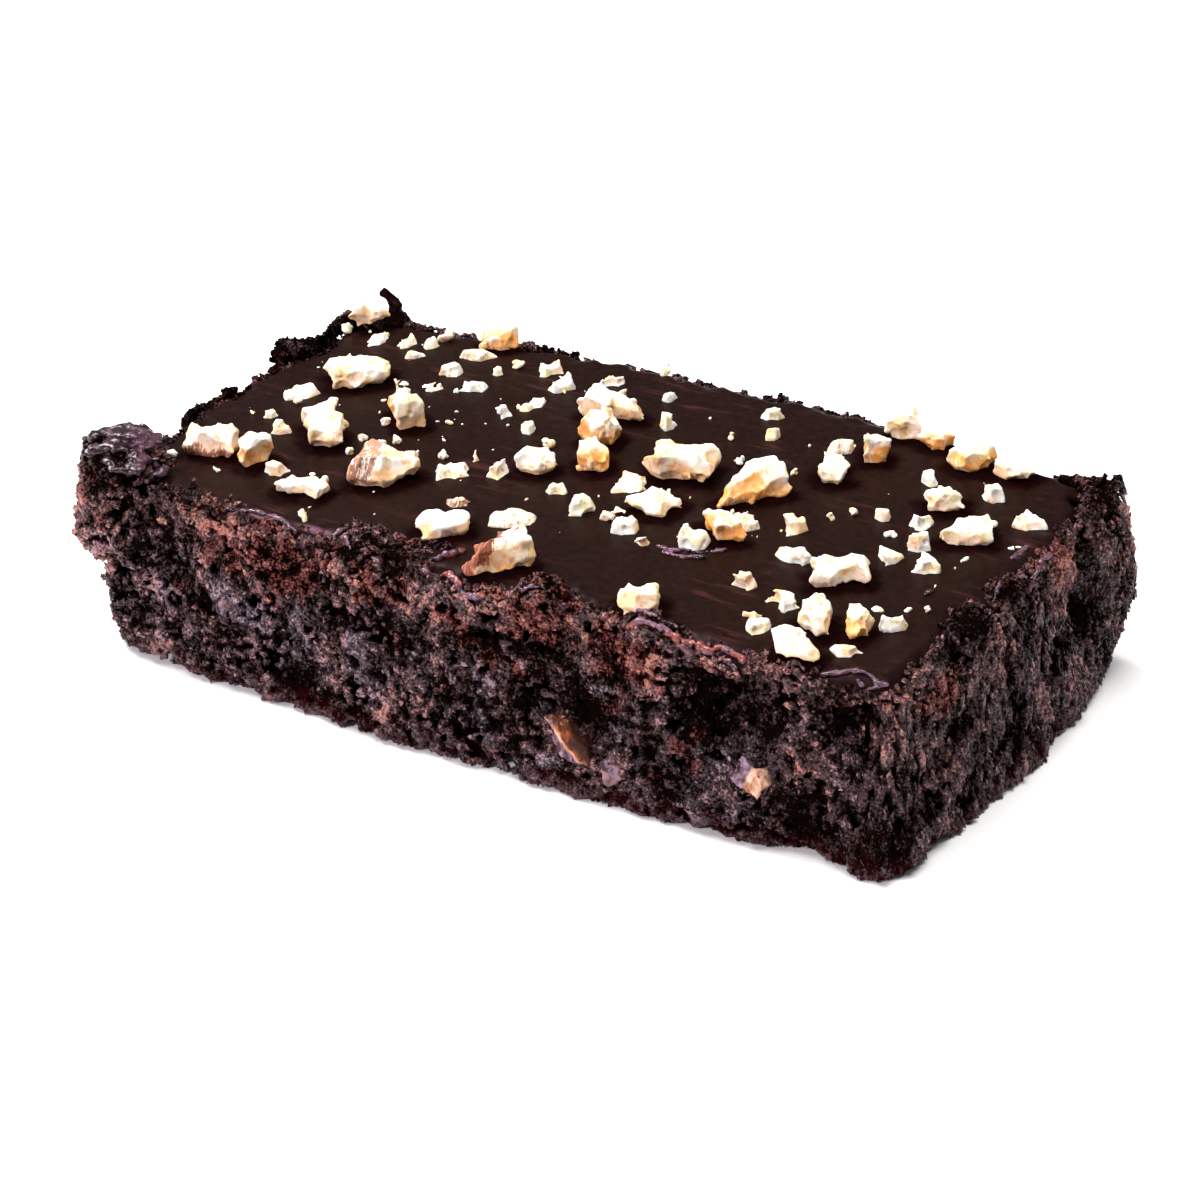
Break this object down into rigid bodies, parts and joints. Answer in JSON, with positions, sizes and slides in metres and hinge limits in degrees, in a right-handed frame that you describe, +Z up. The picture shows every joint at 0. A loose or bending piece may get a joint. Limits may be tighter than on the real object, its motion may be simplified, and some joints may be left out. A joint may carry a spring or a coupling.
{
  "type": "walnut brownie",
  "caption": "Rectangular slab of dark chocolate brownie with crumbly cut sides, a thin glossy chocolate icing and scattered chopped walnuts.",
  "frame": {"origin": "middle of the flat underside", "axes": "+X along the slab's length, +Y across it towards its back side, +Z up out of the icing"},
  "size_m": [0.1302, 0.0725, 0.0306],
  "materials": {
    "crumb": "matt, moist",
    "icing": "glossy",
    "walnut": "matt",
    "baked_walnut": "matt, moist"
  },
  "bodies": {
    "root": {"crumb": "crumb", "icing": "icing", "walnut_01": "walnut", "walnut_02": "walnut", "walnut_03": "walnut", "walnut_04": "walnut", "walnut_05": "walnut", "walnut_06": "walnut", "walnut_07": "walnut", "walnut_08": "walnut", "walnut_09": "walnut", "walnut_10": "walnut", "walnut_11": "walnut", "walnut_12": "walnut", "walnut_13": "walnut", "walnut_14": "walnut", "walnut_15": "walnut", "walnut_16": "walnut", "walnut_17": "walnut", "walnut_18": "walnut", "walnut_19": "walnut", "walnut_20": "walnut", "walnut_21": "walnut", "walnut_22": "walnut", "walnut_23": "walnut", "walnut_24": "walnut", "walnut_25": "walnut", "walnut_26": "walnut", "walnut_27": "walnut", "walnut_28": "walnut", "walnut_29": "walnut", "walnut_30": "walnut", "walnut_31": "walnut", "walnut_32": "walnut", "baked_walnut_1": "baked_walnut", "baked_walnut_2": "baked_walnut", "baked_walnut_3": "baked_walnut", "baked_walnut_4": "baked_walnut"}
  },
  "joints": []
}
